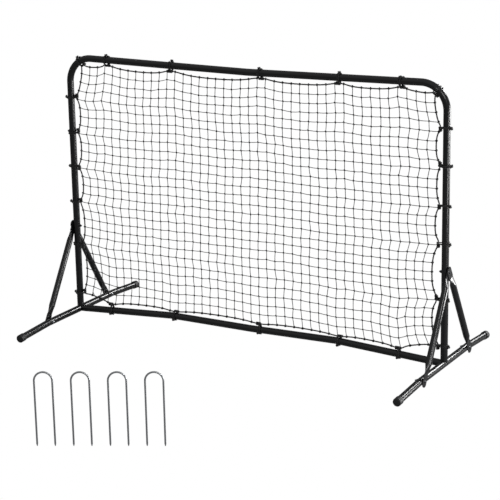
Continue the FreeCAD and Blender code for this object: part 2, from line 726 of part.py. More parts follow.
def rope_stations():
    """The rope's place at each tie, clockwise from the top left bend, with the tube's point and
    direction there."""
    bend = dims["corner_bend"]
    stations = []

    def in_bend(x_sign, angle, gap):
        turn = math.radians(angle)
        out = Vector(x_sign * math.cos(turn), 0, math.sin(turn))
        centre = Vector(x_sign * (HALF - bend), 0, TOP_Z - BEND_SETBACK)
        tube = centre + out * bend
        stations.append((tube - out * gap, tube, Vector(out.z, 0, -out.x)))

    in_bend(-1, *LEFT_BEND_TIE)
    for x, gap in TOP_TIES:
        tube = Vector(x, 0, line_height(TOP_LINE, x))
        stations.append((tube - Z_AXIS * gap, tube, X_AXIS))
    in_bend(1, *RIGHT_BEND_TIE)
    for height, gap in RIGHT_TIES:
        tube = Vector(HALF, 0, BAR_Z + height)
        stations.append((tube - X_AXIS * gap, tube, Z_AXIS))
    for x, gap in BOTTOM_TIES:
        tube = Vector(x, 0, line_height(BOTTOM_LINE, x))
        stations.append((tube + Z_AXIS * gap, tube, X_AXIS))
    for height, gap in LEFT_TIES:
        tube = Vector(-HALF, 0, BAR_Z + height)
        stations.append((tube + X_AXIS * gap, tube, Z_AXIS))
    return stations


def rope_route(stations):
    """Points of the rope's closed centre line: each tie, and three points of the bow after it. The
    bow is steep beside the ties and flat between them, as a rope that a net pulls on evenly."""
    points = []
    middle = Vector(0, 0, (TOP_Z + BAR_Z) / 2)
    for index, (start, tube, along) in enumerate(stations):
        end = stations[(index + 1) % len(stations)][0]
        chord = end - start
        inwards = unit(Vector(chord.z, 0, -chord.x))
        if inwards.dot(middle - start) < 0:
            inwards = -inwards
        points.append(start)
        for share in BOW_SHARES:
            bow = BOWS[index] * (1 - abs(2 * share - 1) ** 3)
            points.append(start + chord * share + inwards * bow)
    return points


def rounded_wire(points, closed):
    """Straight runs joined by tangent arcs, each as large as its two runs allow."""
    count = len(points)
    inner = range(count) if closed else range(1, count - 1)
    cuts = {}
    radii = []
    for i in inner:
        before, here, after = points[i - 1], points[i], points[(i + 1) % count]
        into, out = unit(here - before), unit(after - here)
        turn = into.getAngle(out)
        setback = 0.45 * min((here - before).Length, (after - here).Length)
        radii.append(setback / math.tan(turn / 2))
        first, last = here - into * setback, here + out * setback
        towards = unit(out - into)
        sagitta = radii[-1] * (1 / math.cos(turn / 2) - 1)
        cuts[i] = (first, here + towards * sagitta, last)
    edges = []
    for i in range(count if closed else count - 1):
        following = (i + 1) % count
        start = cuts[i][2] if i in cuts else points[i]
        end = cuts[following][0] if following in cuts else points[following]
        edges.append(Part.LineSegment(start, end).toShape())
        if following in cuts:
            edges.append(Part.Arc(*cuts[following]).toShape())
    return Part.Wire(edges), radii


def sweep_round(wire, radius):
    """A round section carried along a wire, square to its first edge."""
    first = wire.OrderedEdges[0]
    start = first.valueAt(first.FirstParameter)
    tangent = first.tangentAt(first.FirstParameter)
    ring = Part.Wire(Part.Circle(start, tangent, radius).toShape())
    return wire.makePipeShell([ring], True, False)


def make_border_rope(route):
    """The rope round the net's edge, in four lengths that meet at the ties in the two bends and at
    the lowest tie of each upright, where the hitches hide the splices."""
    radius = dims["rope_diameter"] / 2
    per_tie = 1 + len(BOW_SHARES)
    splices = [tie * per_tie for tie in (0, 6, 12, 18)]
    lengths = []
    for start, end in zip(splices, splices[1:] + [splices[0] + len(route)]):
        points = [route[i % len(route)] for i in range(start, end + 1)]
        wire, radii = rounded_wire(points, False)
        solid = sweep_round(wire, radius)
        expected = math.pi * radius ** 2 * wire.Length
        print("rope length %.0f, smallest arc %.0f, volume ratio %.4f"
              % (wire.Length, min(radii), solid.Volume / expected))
        lengths.append(solid)
    rope = add("Part::Feature", "border_rope")
    rope.Shape = Part.makeCompound(lengths)
    rope.Placement = Placement()
    return rope


def make_tie(name, station):
    """A tie: a band of cord round the tube, a knot outside it, and a hitch round the rope."""
    rope_point, tube, along = station
    inwards = unit(rope_point - tube)
    width = "Dims.tie_spread + Dims.tie_cord"
    start = tube - along * ((dims["tie_spread"] + dims["tie_cord"]) / 2)
    clear = "Dims.tube_outer / 2 + Dims.tie_gap"
    band = rod(name + "_band", f"{clear} + Dims.tie_cord", width, start, along)
    bore = rod(name + "_bore", clear, f"{width} + 2", start - along, along)
    surface = dims["tube_outer"] / 2 + dims["tie_gap"]
    knot_at = tube - inwards * (surface + dims["tie_knot"] * 0.8)
    knot = rod(name + "_knot", "Dims.tie_knot / 2", "Dims.tie_knot * 0.7", knot_at, inwards)
    link_at = tube + inwards * (surface + dims["tie_cord"] / 2)
    gap = round((rope_point - link_at).Length, 3)
    link = rod(name + "_link", "Dims.tie_link / 2", f"{gap} + Dims.hitch / 2", link_at, inwards)
    hitch_at = rope_point - along * (dims["hitch"] * 0.6)
    hitch = rod(name + "_hitch", "Dims.hitch / 2", "Dims.hitch * 1.2", hitch_at, along)
    whole = fuse(name + "_whole", band, knot, link, hitch)
    return cut(name, whole, bore)


def make_net(route):
    """The net: one flat sheet with a square opening in every mesh, inside the border rope."""
    margin = dims["net_margin"]
    twine = dims["twine"]
    across, up = dims["mesh_across"], dims["mesh_up"]
    rope_face = Part.Face(Part.makePolygon(route + route[:1]))
    outline = rope_face.makeOffset2D(-margin)
    inner = rope_face.makeOffset2D(-margin - twine)
    outer_wire = outline.OuterWire
    box = inner.BoundBox
    columns = 2 * math.ceil(box.XLength / across / 2)
    rows = math.ceil(box.ZLength / up)
    left = -columns * across / 2
    low = box.Center.z - rows * up / 2
    holes = []
    for column in range(columns):
        for row in range(rows):
            x0 = left + column * across + twine / 2
            z0 = low + row * up + twine / 2
            x1 = x0 + across - twine
            z1 = z0 + up - twine
            corners = [Vector(x0, 0, z0), Vector(x1, 0, z0), Vector(x1, 0, z1), Vector(x0, 0, z1)]
            inside = [inner.isInside(corner, 0.001, True) for corner in corners]
            square = Part.makePolygon(corners + corners[:1])
            if all(inside):
                holes.append(square)
            elif any(inside):
                for face in Part.Face(square).common(inner).Faces:
                    if face.Area > twine * across:
                        holes.append(face.OuterWire)
    sheet_face = Part.Face([outer_wire] + holes)
    print("net openings", len(holes), "of", columns, "by", rows)
    net = add("Part::Feature", "net_sheet")
    net.Shape = sheet_face.extrude(Y_AXIS * twine)
    net.Placement = Placement(Vector(0, -twine / 2, 0), Rotation())
    return net


stations = rope_stations()
route = rope_route(stations)
node(make_border_rope(route), "border_rope")
ties = [make_tie(f"tie_{number:02d}", station) for number, station in enumerate(stations)]
node(group("ties_top", *ties[0:7]), "top_ties")
node(group("ties_right", *ties[7:13]), "right_ties")
node(group("ties_bottom", *ties[13:18]), "bottom_ties")
node(group("ties_left", *ties[18:24]), "left_ties")
node(make_net(route), "net")


# ---------------------------------------------------------------- ground stakes

def make_stake(number):
    """U-shaped stake of round wire with pointed tips, standing on them."""
    name = f"stake_{number}"
    height = dims["stake_height"]
    half = dims["stake_width"] / 2
    crown = height - dims["stake_wire"] / 2 - half
    point = dims["stake_point"]
    spine = add("Part::Feature", name + "_spine")
    spine.Shape = Part.Wire([
        Part.LineSegment(Vector(-half, 0, point), Vector(-half, 0, crown)).toShape(),
        Part.Arc(Vector(-half, 0, crown), Vector(0, 0, crown + half), Vector(half, 0, crown)).toShape(),
        Part.LineSegment(Vector(half, 0, crown), Vector(half, 0, point)).toShape(),
    ])
    ring = bind(add("Part::Circle", name + "_ring"), Radius="Dims.stake_wire / 2")
    ring.Placement = Placement(Vector(-half, 0, point), Rotation())
    wire = add("Part::Sweep", name + "_wire")
    wire.Sections = [ring]
    wire.Spine = (spine, ["Edge1", "Edge2", "Edge3"])
    wire.Solid = True
    tips = []
    for side in (-1, 1):
        tip = bind(
            add("Part::Cone", name + "_tip"),
            Radius1="Dims.stake_tip / 2", Radius2="Dims.stake_wire / 2", Height="Dims.stake_point",
        )
        tip.Placement = Placement(Vector(side * half, 0, 0), Rotation())
        tips.append(tip)
    return fuse(name, wire, *tips)


row_turn = Rotation(Z_AXIS, dims["stake_row_angle"])
row_middle = Vector(dims["stake_row_x"], dims["stake_row_y"], 0)
for number in range(1, 5):
    stake = node(make_stake(number), f"ground_stake_{number}")
    offset = row_turn.multVec(X_AXIS * ((number - 2.5) * dims["stake_pitch"]))
    stake.Placement = Placement(row_middle + offset, row_turn)


# ---------------------------------------------------------------- check and write

doc.recompute()
failed = [item.Name for item in doc.Objects if {"Invalid", "Error"} & set(item.State)]
if failed:
    raise RuntimeError("failed objects: " + ", ".join(failed))
for label, item in nodes.items():
    if item.Shape.isNull() or not item.Shape.isValid():
        raise RuntimeError(label + " has no valid shape")

os.makedirs("parts", exist_ok=True)
for label, item in sorted(nodes.items()):
    item.Shape.exportStep(f"parts/{label}.step")
    box = item.Shape.BoundBox
    print("%-24s solids %2d volume %9.0f  x %7.1f %7.1f  y %7.1f %7.1f  z %7.1f %7.1f" % (
        label, len(item.Shape.Solids), item.Shape.Volume,
        box.XMin, box.XMax, box.YMin, box.YMax, box.ZMin, box.ZMax))
print(len(nodes), "nodes")
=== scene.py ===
"""Free-standing rebounder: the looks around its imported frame. Metres, +X along the net, +Z up."""
import math

import bpy
import numpy as np
from mathutils import Matrix, Vector


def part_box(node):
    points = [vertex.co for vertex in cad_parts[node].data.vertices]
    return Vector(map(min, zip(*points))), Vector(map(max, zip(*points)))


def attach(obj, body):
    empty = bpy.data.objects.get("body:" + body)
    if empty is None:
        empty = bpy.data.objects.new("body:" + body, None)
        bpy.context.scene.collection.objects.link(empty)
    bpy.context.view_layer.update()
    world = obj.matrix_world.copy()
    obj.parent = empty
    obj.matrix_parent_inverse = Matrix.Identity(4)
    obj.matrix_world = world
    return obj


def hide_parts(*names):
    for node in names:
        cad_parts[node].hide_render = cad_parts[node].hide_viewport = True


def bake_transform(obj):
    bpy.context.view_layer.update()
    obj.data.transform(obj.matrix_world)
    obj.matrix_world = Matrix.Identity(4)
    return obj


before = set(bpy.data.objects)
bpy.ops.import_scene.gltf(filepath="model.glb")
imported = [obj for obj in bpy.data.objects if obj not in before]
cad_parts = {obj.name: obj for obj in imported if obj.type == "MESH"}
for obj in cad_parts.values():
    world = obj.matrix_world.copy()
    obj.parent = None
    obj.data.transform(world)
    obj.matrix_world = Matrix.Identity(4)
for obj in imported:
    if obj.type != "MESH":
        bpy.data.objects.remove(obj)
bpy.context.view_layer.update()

scene = bpy.context.scene

# ------------------------------------------------------------------ camera
# A long lens in front of the net, 29 degrees round to its right and 15 degrees above it, aimed at the
# middle of the frame. It is turned one degree on its side, as a lens on a tripod often is.
APEX_RISE = 0.391
BOLT_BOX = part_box("left_apex_bolt")
BAR_Z = (BOLT_BOX[0].z + BOLT_BOX[1].z) / 2 - APEX_RISE

AZIMUTH, ELEVATION, ROLL = (math.radians(angle) for angle in (29.23, 15.21, -1.06))
AIM = Vector((-0.0022, 0, BAR_Z + 0.3784))
DISTANCE = 7.288
LENS = 122.2

towards_lens = Vector((
    math.sin(AZIMUTH) * math.cos(ELEVATION),
    -math.cos(AZIMUTH) * math.cos(ELEVATION),
    math.sin(ELEVATION),
))
level = Vector((math.cos(AZIMUTH), math.sin(AZIMUTH), 0))
upright = towards_lens.cross(level)
lens_right = math.cos(ROLL) * level + math.sin(ROLL) * upright
lens_up = math.cos(ROLL) * upright - math.sin(ROLL) * level
camera = bpy.data.objects.new("camera", bpy.data.cameras.new("camera"))
camera.data.lens = LENS
camera.matrix_world = (
    Matrix.Translation(AIM + towards_lens * DISTANCE)
    @ Matrix((lens_right, lens_up, towards_lens)).transposed().to_4x4()
)
scene.collection.objects.link(camera)
scene.camera = camera
scene.view_settings.view_transform = "Standard"


# ------------------------------------------------------------------ floor and light
# A plain white floor that the lens sees evenly lit, as a swept studio floor is, in a dim grey room.
# Soft lights stand front right and behind. Two low ones on the right lighten the right-hand edges of
# the tubes.
def srgb(code):
    """Linear colour of an sRGB hex value: each channel over 255, with the sRGB curve undone."""
    share = np.array([int(code[i:i + 2], 16) for i in (1, 3, 5)]) / 255
    linear = np.where(share <= 0.04045, share / 12.92, ((share + 0.055) / 1.055) ** 2.4)
    return (*linear.tolist(), 1.0)


def add_node(tree, kind, inputs, **settings):
    """Adds one node. An input that is given an output socket is linked to it, any other is set."""
    item = tree.nodes.new(kind)
    for name, value in settings.items():
        setattr(item, name, value)
    for name, value in inputs.items():
        if isinstance(value, bpy.types.NodeSocket):
            tree.links.new(value, item.inputs[name])
        else:
            item.inputs[name].default_value = value
    return item


def new_material(name, sockets):
    """A material whose Principled shader has these constants, with its node tree and shader."""
    material = bpy.data.materials.new(name)
    material.use_nodes = True
    shader = material.node_tree.nodes["Principled BSDF"]
    for socket, value in sockets.items():
        shader.inputs[socket].default_value = value
    return material, material.node_tree, shader


FLOOR_SIDE = 80.0

floor_mesh = bpy.data.meshes.new("floor")
corners = FLOOR_SIDE / 2 * np.array([[-1, -1, 0], [1, -1, 0], [1, 1, 0], [-1, 1, 0]])
floor_mesh.from_pydata(corners.tolist(), [], [[0, 1, 2, 3]])
floor = bpy.data.objects.new("floor", floor_mesh)
scene.collection.objects.link(floor)
white, tree, shader = new_material("white_paper_sweep", {
    "Base Color": srgb("#a8a8a8"), "Roughness": 0.9, "Specular IOR Level": 0.0,
})
seen = add_node(tree, "ShaderNodeLightPath", {})
paper = add_node(tree, "ShaderNodeEmission", {"Color": srgb("#ffffff"), "Strength": 1.0})
evenly = add_node(tree, "ShaderNodeMixShader", {
    0: seen.outputs["Is Camera Ray"], 1: shader.outputs[0], 2: paper.outputs[0],
})
tree.links.new(evenly.outputs[0], tree.nodes["Material Output"].inputs["Surface"])
floor_mesh.materials.append(white)

world = bpy.data.worlds.new("grey_room")
scene.world = world
world.use_nodes = True
# The room is brightest overhead and darkens towards the wall behind the net.
room = world.node_tree
way = add_node(room, "ShaderNodeTexCoord", {})
overhead = add_node(room, "ShaderNodeVectorMath", {
    0: way.outputs["Generated"], 1: (0.0, -0.35, 0.94),
}, operation="DOT_PRODUCT")
glow = add_node(room, "ShaderNodeMapRange", {
    "Value": overhead.outputs["Value"], "From Min": -0.35, "From Max": 0.9, "To Min": 0.05, "To Max": 0.42,
})
room.links.new(glow.outputs[0], room.nodes["Background"].inputs["Strength"])
room.nodes["Background"].inputs["Color"].default_value = srgb("#ffffff")


def soft_light(name, place, target, width, height, power):
    """A rectangular light at a place, turned to a target, which the lens doesn't see."""
    lamp = bpy.data.lights.new(name, "AREA")
    lamp.shape = "RECTANGLE"
    lamp.size = width
    lamp.size_y = height
    lamp.energy = power
    holder = bpy.data.objects.new(name, lamp)
    holder.location = place
    holder.rotation_euler = (Vector(target) - Vector(place)).to_track_quat("-Z", "Y").to_euler()
    holder.visible_camera = False
    scene.collection.objects.link(holder)


soft_light("front_light", (5.2, -3.9, 4.4), (0, 0, 0.4), 0.9, 1.6, 80)
soft_light("back_light", (2.4, 6.7, 3.5), (0, 0, 0.3), 2.2, 1.0, 240)
soft_light("low_side_light", (2.85, -0.55, 0.45), (0.9, 0, 0.85), 0.4, 0.5, 12)
soft_light("low_back_light", (4.6, 3.2, 0.5), (0.9, 0, 0.2), 1.6, 1.0, 190)


# ------------------------------------------------------------------ black steel tubes
# Thin-walled steel tube, 30 mm in the frame and 27 mm in the braces, bent, flattened and welded, then
# powder coated: a smooth black skin with a faint orange peel and a soft gloss.
WELD_REACH = 0.00002
SHARP_ANGLE = 32


def smooth_turned_faces(item, angle):
    """Joins a node's loose triangles for shading only, and keeps the edges sharper than an angle."""
    item.data.polygons.foreach_set("use_smooth", np.ones(len(item.data.polygons), bool))
    weld = item.modifiers.new("weld", "WELD")
    weld.merge_threshold = WELD_REACH
    split = item.modifiers.new("sharp_edges", "EDGE_SPLIT")
    split.split_angle = math.radians(angle)


def finish_nodes(names, material):
    """Gives CAD nodes a material and smooth shading over their turned faces."""
    for name in names:
        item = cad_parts[name]
        item.data.materials.clear()
        item.data.materials.append(material)
        smooth_turned_faces(item, SHARP_ANGLE)


def place_pattern(tree, kind, size, **settings):
    """A texture on Object coordinates whose features are about this many metres across."""
    coordinates = add_node(tree, "ShaderNodeTexCoord", {})
    inputs = {"Vector": coordinates.outputs["Object"], "Scale": 1 / size}
    return add_node(tree, kind, inputs, **settings)


def mix_colours(tree, share, first, second):
    """The colour between two sRGB values, by a share from a texture."""
    mix = add_node(tree, "ShaderNodeMix", {0: share, 6: srgb(first), 7: srgb(second)}, data_type="RGBA")
    return mix.outputs[2]


def raise_surface(tree, shader, height, depth):
    """Bumps a shader's surface by a texture's height, over this many metres."""
    bump = add_node(tree, "ShaderNodeBump", {"Height": height, "Distance": depth, "Strength": 1.0})
    tree.links.new(bump.outputs["Normal"], shader.inputs["Normal"])


# Powder coat on steel: near black, with the slow cloudiness of an uneven bake and a 1.5 mm orange peel.
coat, tree, shader = new_material("black_powder_coat", {
    "Roughness": 0.25, "IOR": 1.5,
})
cloud = place_pattern(tree, "ShaderNodeTexNoise", 0.030)
tree.links.new(mix_colours(tree, cloud.outputs[0], "#0f1011", "#161719"), shader.inputs["Base Color"])
peel = place_pattern(tree, "ShaderNodeTexNoise", 0.0015)
raise_surface(tree, shader, peel.outputs[0], 0.000006)

SIDES = ("left", "right")
tube_nodes = [
    f"{side}_{piece}" for side in SIDES
    for piece in ("foot_tube", "foot_stubs", "upright", "corner_tube", "front_brace", "rear_brace")
]
tube_nodes += [f"bottom_bar_{side}_{part}" for side in SIDES for part in ("outer", "inner")]
tube_nodes += [f"top_bar_{side}" for side in SIDES]
finish_nodes(tube_nodes, coat)


# ------------------------------------------------------------------ end caps
# Injection-moulded polyethylene cups pushed over the ends of the feet: black, with a fine spark-eroded
# grain that takes the gloss off.
cap_plastic, tree, shader = new_material("black_polyethylene", {"Roughness": 0.52, "IOR": 1.51})
grain = place_pattern(tree, "ShaderNodeTexNoise", 0.0008)
tree.links.new(mix_colours(tree, grain.outputs[0], "#161718", "#202122"), shader.inputs["Base Color"])
raise_surface(tree, shader, grain.outputs[0], 0.00004)
finish_nodes([f"{side}_{end}_cap" for side in SIDES for end in ("front", "rear")], cap_plastic)


# ------------------------------------------------------------------ bolts and nuts
# M6 coach bolts with domed black heads on the outer tabs. The nuts on the inner side, on washers, are
# black at the apexes and zinc-plated on the feet.
# Black zinc plating: a dark metal, dulled in small scuffs.
bolt_black, tree, shader = new_material("black_zinc_bolt", {"Metallic": 1.0, "Roughness": 0.38})
scuff = place_pattern(tree, "ShaderNodeTexNoise", 0.0012)
tree.links.new(mix_colours(tree, scuff.outputs[0], "#3a3b3d", "#55575a"), shader.inputs["Base Color"])

# Bright zinc plating: pale and slightly hazy, so that a nut catches the light.
zinc, tree, shader = new_material("bright_zinc_nut", {"Metallic": 1.0, "Roughness": 0.32})
haze = place_pattern(tree, "ShaderNodeTexNoise", 0.0016)
tree.links.new(mix_colours(tree, haze.outputs[0], "#b4b7bb", "#d6d9dc"), shader.inputs["Base Color"])
PLACES = ("apex", "front_foot", "rear_foot")
finish_nodes([f"{side}_{place}_bolt" for side in SIDES for place in PLACES], bolt_black)
finish_nodes([f"{side}_apex_nut" for side in SIDES], bolt_black)
finish_nodes([f"{side}_{place}_nut" for side in SIDES for place in PLACES[1:]], zinc)


# ------------------------------------------------------------------ ground stakes
# U-shaped stakes bent from 7 mm galvanised wire, with ground points, loose beside the frame: a bare
# grey metal with faint patches of zinc and a fine roughness left from drawing.
galvanised, tree, shader = new_material("galvanised_wire", {"Metallic": 1.0, "Roughness": 0.36})
spangle = place_pattern(tree, "ShaderNodeTexNoise", 0.004)
tree.links.new(mix_colours(tree, spangle.outputs[0], "#a2a5a9", "#c6c9cc"), shader.inputs["Base Color"])
draw_lines = place_pattern(tree, "ShaderNodeTexNoise", 0.0009)
raise_surface(tree, shader, draw_lines.outputs[0], 0.00003)
finish_nodes([f"ground_stake_{number}" for number in range(1, 5)], galvanised)


# ------------------------------------------------------------------ border rope
# Three-strand laid rope, 6.6 mm over its strands, that runs round the net's edge. The net pulls it
# inwards in a shallow bow between one tie and the next, clockwise from the top left bend.
HALF = 0.8995
BEND = 0.110
FRAME_HEIGHT = 1.160
TUBE_RADIUS = 0.015
TOP_Z = BAR_Z + FRAME_HEIGHT
# Distance from the middle and height above or below the corner, at each slip joint of a bar.
TOP_LINE = [(-HALF, 0.0), (-0.395, -0.007), (0.0, -0.012)]
BOTTOM_LINE = [(-HALF, 0.0), (-0.405, 0.029), (0.0, 0.0245)]
# Of each tie: its place along the tube, or its angle in a bend, and the rope's distance from the tube's
# axis, in millimetres and degrees. Places run sideways from the middle, or up from the bottom bar.
TOP_TIES = [(-703, 22), (-372, 24), (60, 22), (428, 24), (702, 24)]
RIGHT_TIES = [(982, 28), (828, 28), (665, 29), (508, 31), (273, 37), (75, 28)]
BOTTOM_TIES = [(698, 26), (420, 22), (40, 27), (-390, 21), (-725, 29)]
LEFT_TIES = [(77, 26), (305, 29), (505, 27), (667, 27), (825, 31), (982, 31)]
LEFT_BEND_TIE = (61, 20)
RIGHT_BEND_TIE = (51, 20)
# Depth of the rope's bow after each tie, in millimetres.
BOWS = [11, 18, 19, 15, 14, 7, 8, 18, 13, 17, 25, 24, 9, 10, 10, 12, 13, 3, 19, 16, 19, 15, 16, 7]
BOW_SHARES = np.array([0.2, 0.5, 0.8])
ROPE_RADIUS = 0.0033
ROPE_LAY = 0.020
RING_STEP = 0.0017


def unit(vectors):
    """Each vector over its length."""
    return vectors / np.linalg.norm(vectors, axis=-1, keepdims=True)


def bar_point(line, x, base):
    """A point of a bar's axis: straight lengths between its joints, alike on both sides."""
    places, heights = zip(*line)
    return np.array([x, 0, base + np.interp(-abs(x), places, heights)])


def find_stations():
    """Tube point, rope point and tube direction at each tie, clockwise from the top left bend."""
    found = []
    joint_x, joint_drop = TOP_LINE[1]
    slope = math.atan2(-joint_drop, HALF + joint_x)
    setback = BEND * math.tan((math.pi / 2 + slope) / 2)

    def in_bend(x_sign, angle, gap):
        turn = math.radians(angle)
        out = np.array([x_sign * math.cos(turn), 0, math.sin(turn)])
        tube = np.array([x_sign * (HALF - BEND), 0, TOP_Z - setback]) + out * BEND
        found.append((tube, tube - out * gap / 1000, np.array([out[2], 0, -out[0]])))

    in_bend(-1, *LEFT_BEND_TIE)
    for x, gap in TOP_TIES:
        tube = bar_point(TOP_LINE, x / 1000, TOP_Z)
        found.append((tube, tube + (0, 0, -gap / 1000), np.array([1.0, 0, 0])))
    in_bend(1, *RIGHT_BEND_TIE)
    for height, gap in RIGHT_TIES:
        tube = np.array([HALF, 0, BAR_Z + height / 1000])
        found.append((tube, tube + (-gap / 1000, 0, 0), np.array([0, 0, -1.0])))
    for x, gap in BOTTOM_TIES:
        tube = bar_point(BOTTOM_LINE, x / 1000, BAR_Z)
        found.append((tube, tube + (0, 0, gap / 1000), np.array([-1.0, 0, 0])))
    for height, gap in LEFT_TIES:
        tube = np.array([-HALF, 0, BAR_Z + height / 1000])
        found.append((tube, tube + (gap / 1000, 0, 0), np.array([0, 0, 1.0])))
    return [np.array(column) for column in zip(*found)]


def bowed_route(starts):
    """The rope's route: each tie, then three points of the bow after it. The bow's depth at a share of
    the way is its full depth times one less the cube of the share's distance from the middle. Each
    tie's point stands out by a third of its neighbours' mean offset, so that the spline passes it."""
    ends = np.roll(starts, -1, axis=0)
    chords = ends - starts
    inwards = unit(np.stack([chords[:, 2], 0 * chords[:, 0], -chords[:, 0]], axis=1))
    depths = np.array(BOWS) / 1000
    bows = depths[:, None] * (1 - np.abs(2 * BOW_SHARES - 1) ** 3)
    along = chords[:, None] * BOW_SHARES[:, None]
    between = starts[:, None] + along + inwards[:, None] * bows[..., None]
    neighbours = (between[:, 0] + np.roll(between[:, -1], 1, axis=0)) / 2
    peaks = starts + (starts - neighbours) / 3
    return np.concatenate([peaks[:, None], between], axis=1).reshape(-1, 3)


def spline_points(route, closed):
    """Points along the NURBS curve of order 3 that has the route's points as its control points."""
    curve = bpy.data.curves.new("route", "CURVE")
    curve.dimensions = "3D"
    curve.resolution_u = 16
    spline = curve.splines.new("NURBS")
    spline.points.add(len(route) - 1)
    spline.points.foreach_set("co", np.column_stack([route, np.ones(len(route))]).ravel())
    spline.order_u = 3
    spline.use_cyclic_u = closed
    spline.use_endpoint_u = not closed
    holder = bpy.data.objects.new("route", curve)
    mesh = bpy.data.meshes.new_from_object(holder)
    points = np.zeros(len(mesh.vertices) * 3)
    mesh.vertices.foreach_get("co", points)
    bpy.data.objects.remove(holder)
    bpy.data.curves.remove(curve)
    bpy.data.meshes.remove(mesh)
    return points.reshape(-1, 3)


def even_points(points, step, closed=False):
    """Points at even distances along a line of points, with each one's distance from the start."""
    line = np.vstack([points, points[:1]]) if closed else points
    travelled = np.concatenate([[0], np.cumsum(np.linalg.norm(np.diff(line, axis=0), axis=1))])
    count = max(2, int(round(travelled[-1] / step)) + 1)
    places = np.linspace(0, travelled[-1], count)
    even = np.stack([np.interp(places, travelled, line[:, axis]) for axis in range(3)], axis=1)
    return (even[:-1], places[:-1], travelled[-1]) if closed else (even, places, travelled[-1])


def carry_profile(path, reference, profile, closed=False):
    """A profile carried along a path. The tangent joins a point's neighbours, the first axis is the
    reference without its part along the tangent, the second is tangent times first, and a profile
    point (p, q) stands at the path's point plus p of the first axis and q of the second."""
    if closed:
        tangents = unit(np.roll(path, -1, axis=0) - np.roll(path, 1, axis=0))
    else:
        tangents = unit(np.gradient(path, axis=0))
    reference = np.broadcast_to(reference, path.shape)
    first = unit(reference - tangents * np.sum(reference * tangents, axis=1, keepdims=True))
    second = np.cross(tangents, first)
    profile = np.broadcast_to(profile, (len(path), *profile.shape[-2:]))
    return (
        path[:, None] + profile[..., :1] * first[:, None] + profile[..., 1:] * second[:, None]
    )


def ring_profile(radius, sides):
    """A regular polygon of points on a circle."""
    turn = np.arange(sides) / sides * 2 * math.pi
    return radius * np.stack([np.cos(turn), np.sin(turn)], axis=1)


def skin(rings, distances, closed=False):
    """Vertices, faces and UVs of a tube through rings of points. Its ends are closed by a fan to a
    pole. U goes once round it, and V is the distance along it in metres."""
    count, sides = rings.shape[:2]
    spans = count if closed else count - 1
    i, j = np.meshgrid(np.arange(spans), np.arange(sides), indexing="ij")
    i2, j2 = (i + 1) % count, (j + 1) % sides
    quads = np.stack([i * sides + j, i * sides + j2, i2 * sides + j2, i2 * sides + j], axis=-1)
    steps = np.append(distances, 2 * distances[-1] - distances[-2])
    low, high = steps[i], steps[i + 1]
    left, right = j / sides, (j + 1) / sides
    quad_uvs = np.stack([
        np.stack([left, low], -1), np.stack([right, low], -1),
        np.stack([right, high], -1), np.stack([left, high], -1),
    ], axis=-2)
    vertices = rings.reshape(-1, 3)
    quads, quad_uvs = quads.reshape(-1, 4), quad_uvs.reshape(-1, 4, 2)
    if closed:
        return vertices, quads, np.zeros((0, 3), int), quad_uvs, np.zeros((0, 3, 2))
    around = np.arange(sides)
    beside = (around + 1) % sides
    start, end = len(vertices), len(vertices) + 1
    last = (count - 1) * sides
    fans = np.concatenate([
        np.stack([around * 0 + start, beside, around], -1),
        np.stack([around * 0 + end, last + around, last + beside], -1),
    ])
    fan_uvs = np.stack([
        np.stack([around / sides, (around + 1) / sides, around / sides], -1).repeat(2, 0)[:2 * sides],
        np.concatenate([np.full((sides, 3), distances[0]), np.full((sides, 3), distances[-1])]),
    ], axis=-1)
    poles = np.stack([rings[0].mean(0), rings[-1].mean(0)])
    return np.vstack([vertices, poles]), quads, fans, quad_uvs, fan_uvs


def make_piece(name, skins, material):
    """One mesh from several skins, with smooth faces and its UV map, at the origin."""
    offsets = np.cumsum([0] + [len(part[0]) for part in skins[:-1]])
    vertices = np.concatenate([part[0] for part in skins])
    quads = np.concatenate([part[1] + offset for part, offset in zip(skins, offsets)])
    fans = np.concatenate([part[2] + offset for part, offset in zip(skins, offsets)])
    uvs = np.concatenate([
        np.concatenate([part[3].reshape(-1, 2) for part in skins]),
        np.concatenate([part[4].reshape(-1, 2) for part in skins]),
    ])
    mesh = bpy.data.meshes.new(name)
    mesh.vertices.add(len(vertices))
    mesh.vertices.foreach_set("co", vertices.astype(np.float32).ravel())
    mesh.loops.add(quads.size + fans.size)
    face_corners = np.concatenate([quads.ravel(), fans.ravel()])
    mesh.loops.foreach_set("vertex_index", face_corners.astype(np.int32))
    starts = np.concatenate([np.arange(len(quads)) * 4, quads.size + np.arange(len(fans)) * 3])
    mesh.polygons.add(len(starts))
    mesh.polygons.foreach_set("loop_start", starts.astype(np.int32))
    mesh.polygons.foreach_set("use_smooth", np.ones(len(starts), bool))
    mesh.update(calc_edges=True)
    mesh.validate()
    layer = mesh.uv_layers.new(name="along_cord")
    layer.data.foreach_set("uv", uvs.astype(np.float32).ravel())
    mesh.materials.append(material)
    piece = bpy.data.objects.new(name, mesh)
    scene.collection.objects.link(piece)
    return piece


def cord_pattern(tree, ends, pitch, crossed):
    """Height of a laid or braided cord's yarns: a sine of the way round times the number of ends plus
    the way along over the pitch, and for a braid the greater of that and its mirror image."""
    uv = add_node(tree, "ShaderNodeUVMap", {}, uv_map="along_cord")
    parts = add_node(tree, "ShaderNodeSeparateXYZ", {"Vector": uv.outputs[0]})

    def lean(direction):
        along = add_node(tree, "ShaderNodeMath", {
            0: parts.outputs["Y"], 1: direction * 2 * math.pi / pitch,
        }, operation="MULTIPLY")
        phase = add_node(tree, "ShaderNodeMath", {
            0: parts.outputs["X"], 1: ends * 2 * math.pi, 2: along.outputs[0],
        }, operation="MULTIPLY_ADD")
        return add_node(tree, "ShaderNodeMath", {0: phase.outputs[0]}, operation="SINE").outputs[0]

    if not crossed:
        return lean(1)
    return add_node(tree, "ShaderNodeMath", {0: lean(1), 1: lean(-1)}, operation="MAXIMUM").outputs[0]


